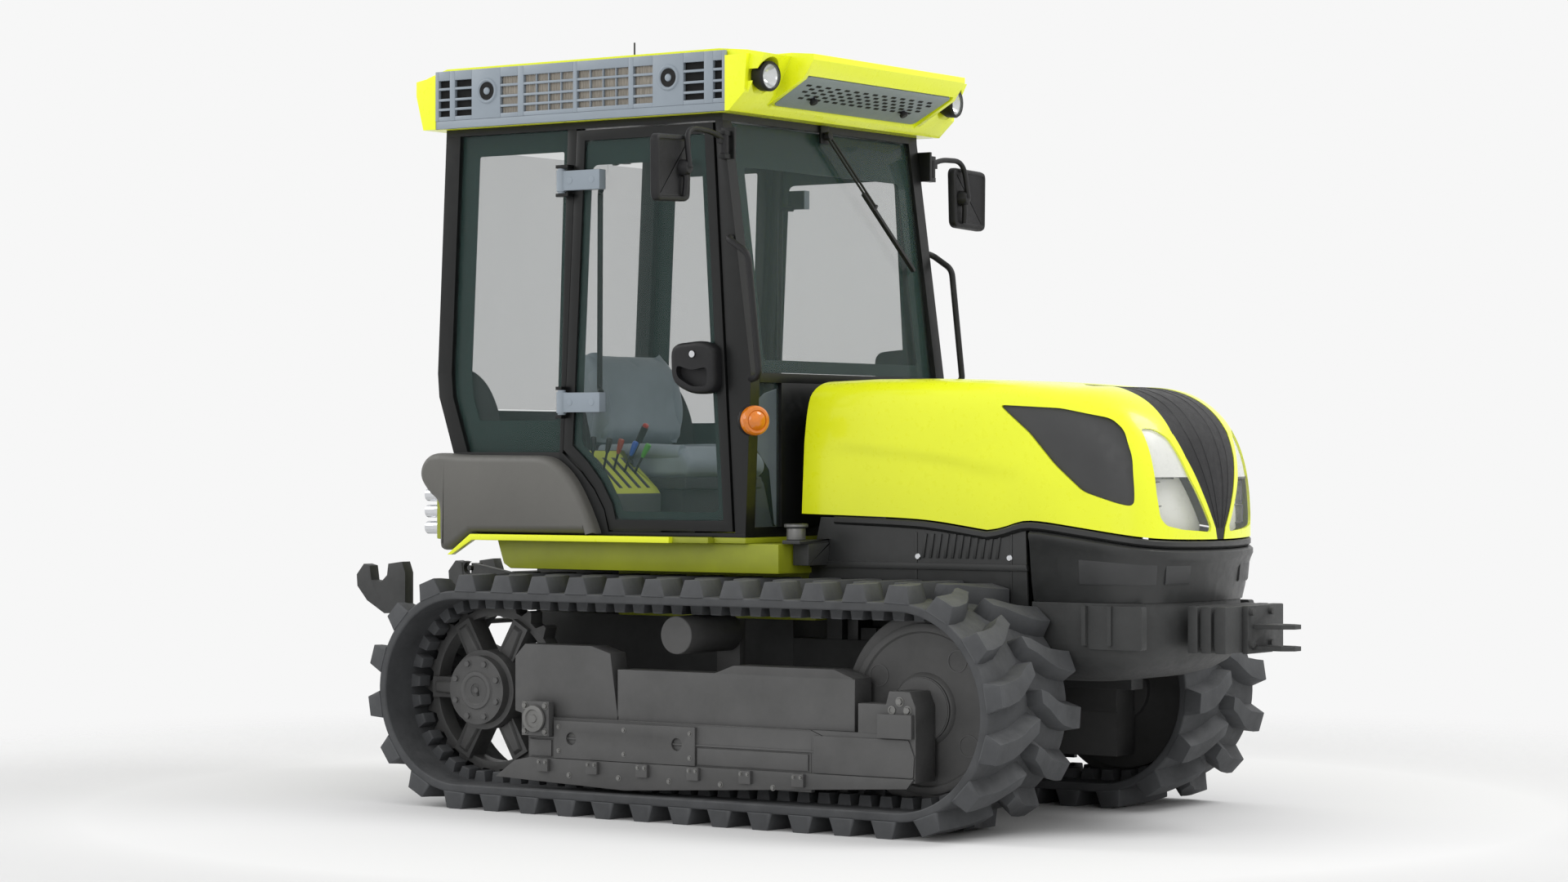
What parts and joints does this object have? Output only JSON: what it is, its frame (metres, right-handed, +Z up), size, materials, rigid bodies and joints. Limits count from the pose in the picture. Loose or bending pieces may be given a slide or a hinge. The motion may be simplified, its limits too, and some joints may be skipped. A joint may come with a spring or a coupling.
{
  "type": "compact crawler tractor with cab",
  "caption": "Compact rubber-tracked crawler tractor with glazed two-door cab, tilting hood, front weights with tow hitch, spoked drive sprockets and rear lift links.",
  "frame": {"origin": "on the ground, at the middle of the overall length and width", "axes": "+X forward along the tractor, +Y to its left, +Z up"},
  "size_m": [3.536, 1.948, 2.56],
  "materials": {
    "lime_paint": "gloss enamel",
    "hood_black": "satin moulding",
    "lamp_lens": "clear lens",
    "amber_lens": "clear amber",
    "rubber_track": "dusty rubber",
    "cast_metal": "painted dark, dusty",
    "dark_moulding": "satin",
    "cab_black": "satin",
    "tinted_glass": "green-grey tint",
    "grey_moulding": "satin",
    "chrome": "polished",
    "seat_vinyl": "grained vinyl"
  },
  "bodies": {
    "chassis": {"antenna": "dark_moulding", "bottom_rollers": "cast_metal", "cab_frame": "cab_black", "cab_glass": "tinted_glass", "cab_mounts": "cast_metal", "chassis_hull": "cast_metal", "console": "dark_moulding", "dashboard": "grey_moulding", "engine": "cast_metal", "fenders": "lime_paint", "floor_tub": "lime_paint", "front_ballast": "cast_metal", "grab_rails": "cab_black", "hydraulic_couplers": "chrome", "left_track_belt": "rubber_track", "left_track_frame": "cast_metal", "lower_nose": "dark_moulding", "nose_casting": "cast_metal", "right_track_belt": "rubber_track", "right_track_frame": "cast_metal", "roof_grilles": "grey_moulding", "roof_shell": "lime_paint", "side_panels": "dark_moulding", "tow_clevis": "cast_metal", "turn_signals": "amber_lens", "work_lamps": "lamp_lens"},
    "hood": {"hood_shell": "lime_paint", "hood_stripe": "hood_black", "hood_grilles": "hood_black", "headlights": "lamp_lens"},
    "rear_window": {"rear_window": "tinted_glass"},
    "wiper": {"wiper": "dark_moulding"},
    "joystick": {"joystick": "dark_moulding"},
    "seat": {"seat_frame": "cab_black", "seat_cushion": "seat_vinyl", "seat_back": "seat_vinyl"},
    "lower_links": {"lower_links": "cast_metal"},
    "lift_arms": {"lift_arms": "cast_metal"},
    "lift_rods": {"lift_rods": "cast_metal"},
    "lever_1": {"lever_1": "dark_moulding"},
    "lever_2": {"lever_2": "dark_moulding"},
    "lever_3": {"lever_3": "dark_moulding"},
    "lever_4": {"lever_4": "dark_moulding"},
    "lever_5": {"lever_5": "dark_moulding"},
    "right_door": {"right_door_frame": "cab_black", "right_door_glass": "tinted_glass", "right_door_handle": "dark_moulding"},
    "right_lock_button": {"right_lock_button": "chrome"},
    "right_sprocket": {"right_sprocket": "cast_metal"},
    "right_idler": {"right_idler": "cast_metal"},
    "right_carrier_roller": {"right_carrier_roller": "cast_metal"},
    "right_mirror": {"right_mirror": "dark_moulding"},
    "left_door": {"left_door_frame": "cab_black", "left_door_glass": "tinted_glass", "left_door_handle": "dark_moulding"},
    "left_lock_button": {"left_lock_button": "chrome"},
    "left_sprocket": {"left_sprocket": "cast_metal"},
    "left_idler": {"left_idler": "cast_metal"},
    "left_carrier_roller": {"left_carrier_roller": "cast_metal"},
    "left_mirror": {"left_mirror": "dark_moulding"}
  },
  "joints": [
    {"name": "right_sprocket_spin", "type": "hinge", "parent": "chassis", "child": "right_sprocket", "pos_m": [-0.844, -0.607, 0.38], "axis": [0, 1, 0], "continuous": true},
    {"name": "right_idler_spin", "type": "hinge", "parent": "chassis", "child": "right_idler", "pos_m": [0.852, -0.607, 0.38], "axis": [0, 1, 0], "continuous": true},
    {"name": "right_carrier_spin", "type": "hinge", "parent": "chassis", "child": "right_carrier_roller", "pos_m": [0, -0.607, 0.5847], "axis": [0, 1, 0], "continuous": true},
    {"name": "right_door_swing", "type": "hinge", "parent": "chassis", "child": "right_door", "pos_m": [-0.6, -0.592, 1.5], "axis": [0, 0, -1], "range_deg": [0, 75]},
    {"name": "right_lock_press", "type": "slide", "parent": "right_door", "child": "right_lock_button", "axis": [0, 1, 0], "range_m": [0, 0.005], "stiffness_N_per_m": 400, "springref_m": -0.002},
    {"name": "right_mirror_fold", "type": "hinge", "parent": "chassis", "child": "right_mirror", "pos_m": [0.064, -0.608, 2.13], "axis": [0, 0, -1], "range_deg": [-20, 55]},
    {"name": "left_sprocket_spin", "type": "hinge", "parent": "chassis", "child": "left_sprocket", "pos_m": [-0.844, 0.607, 0.38], "axis": [0, 1, 0], "continuous": true},
    {"name": "left_idler_spin", "type": "hinge", "parent": "chassis", "child": "left_idler", "pos_m": [0.852, 0.607, 0.38], "axis": [0, 1, 0], "continuous": true},
    {"name": "left_carrier_spin", "type": "hinge", "parent": "chassis", "child": "left_carrier_roller", "pos_m": [0, 0.607, 0.5847], "axis": [0, 1, 0], "continuous": true},
    {"name": "left_door_swing", "type": "hinge", "parent": "chassis", "child": "left_door", "pos_m": [-0.6, 0.592, 1.5], "axis": [0, 0, 1], "range_deg": [0, 75]},
    {"name": "left_lock_press", "type": "slide", "parent": "left_door", "child": "left_lock_button", "axis": [0, -1, 0], "range_m": [0, 0.005], "stiffness_N_per_m": 400, "springref_m": -0.002},
    {"name": "left_mirror_fold", "type": "hinge", "parent": "chassis", "child": "left_mirror", "pos_m": [0.064, 0.608, 2.13], "axis": [0, 0, 1], "range_deg": [-20, 55]},
    {"name": "hood_lift", "type": "hinge", "parent": "chassis", "child": "hood", "pos_m": [0.266, 0, 1.342], "axis": [0, -1, 0], "range_deg": [0, 60]},
    {"name": "rear_window_swing", "type": "hinge", "parent": "chassis", "child": "rear_window", "pos_m": [-1.112, 0, 2.19], "axis": [0, 1, 0], "range_deg": [0, 45]},
    {"name": "wiper_sweep", "type": "hinge", "parent": "chassis", "child": "wiper", "pos_m": [0.046, 0, 2.2], "axis": [-0.992, 0, -0.126], "range_deg": [0, 92]},
    {"name": "seat_slide", "type": "slide", "parent": "chassis", "child": "seat", "axis": [1, 0, 0], "range_m": [-0.08, 0.08]},
    {"name": "joystick_tilt", "type": "hinge", "parent": "chassis", "child": "joystick", "pos_m": [-0.571, -0.264, 1.1243], "axis": [0, 1, 0], "range_deg": [-15, 15], "stiffness_Nm_per_rad": 3},
    {"name": "lever_1_throw", "type": "hinge", "parent": "chassis", "child": "lever_1", "pos_m": [-0.553, -0.497, 1.045], "axis": [0, 1, 0], "range_deg": [-8, 28], "stiffness_Nm_per_rad": 3},
    {"name": "lever_2_throw", "type": "hinge", "parent": "chassis", "child": "lever_2", "pos_m": [-0.553, -0.447, 1.045], "axis": [0, 1, 0], "range_deg": [-8, 28], "stiffness_Nm_per_rad": 3},
    {"name": "lever_3_throw", "type": "hinge", "parent": "chassis", "child": "lever_3", "pos_m": [-0.553, -0.397, 1.045], "axis": [0, 1, 0], "range_deg": [-8, 28], "stiffness_Nm_per_rad": 3},
    {"name": "lever_4_throw", "type": "hinge", "parent": "chassis", "child": "lever_4", "pos_m": [-0.553, -0.347, 1.045], "axis": [0, 1, 0], "range_deg": [-8, 28], "stiffness_Nm_per_rad": 3},
    {"name": "lever_5_throw", "type": "hinge", "parent": "chassis", "child": "lever_5", "pos_m": [-0.553, -0.297, 1.045], "axis": [0, 1, 0], "range_deg": [-8, 28], "stiffness_Nm_per_rad": 3},
    {"name": "lower_link_lift", "type": "hinge", "parent": "chassis", "child": "lower_links", "pos_m": [-1.04, 0, 0.43], "axis": [0, 1, 0], "range_deg": [-10, 25]},
    {"name": "lift_arm_raise", "type": "hinge", "parent": "chassis", "child": "lift_arms", "pos_m": [-1.1, 0, 0.7], "axis": [0, 1, 0], "range_deg": [-13.7, 34.25]},
    {"name": "lift_rod_pivot", "type": "hinge", "parent": "lower_links", "child": "lift_rods", "pos_m": [-1.3, 0, 0.51982], "axis": [0, 1, 0], "range_deg": [-24.25, 9.7]}
  ],
  "couplings": [
    {"joint": "right_idler_spin", "follows": "right_sprocket_spin", "ratio": 0.943},
    {"joint": "right_carrier_spin", "follows": "right_sprocket_spin", "ratio": 4.67},
    {"joint": "left_idler_spin", "follows": "left_sprocket_spin", "ratio": 0.943},
    {"joint": "left_carrier_spin", "follows": "left_sprocket_spin", "ratio": 4.67},
    {"joint": "lift_arm_raise", "follows": "lower_link_lift", "ratio": 1.37},
    {"joint": "lift_rod_pivot", "follows": "lower_link_lift", "ratio": -0.97}
  ]
}
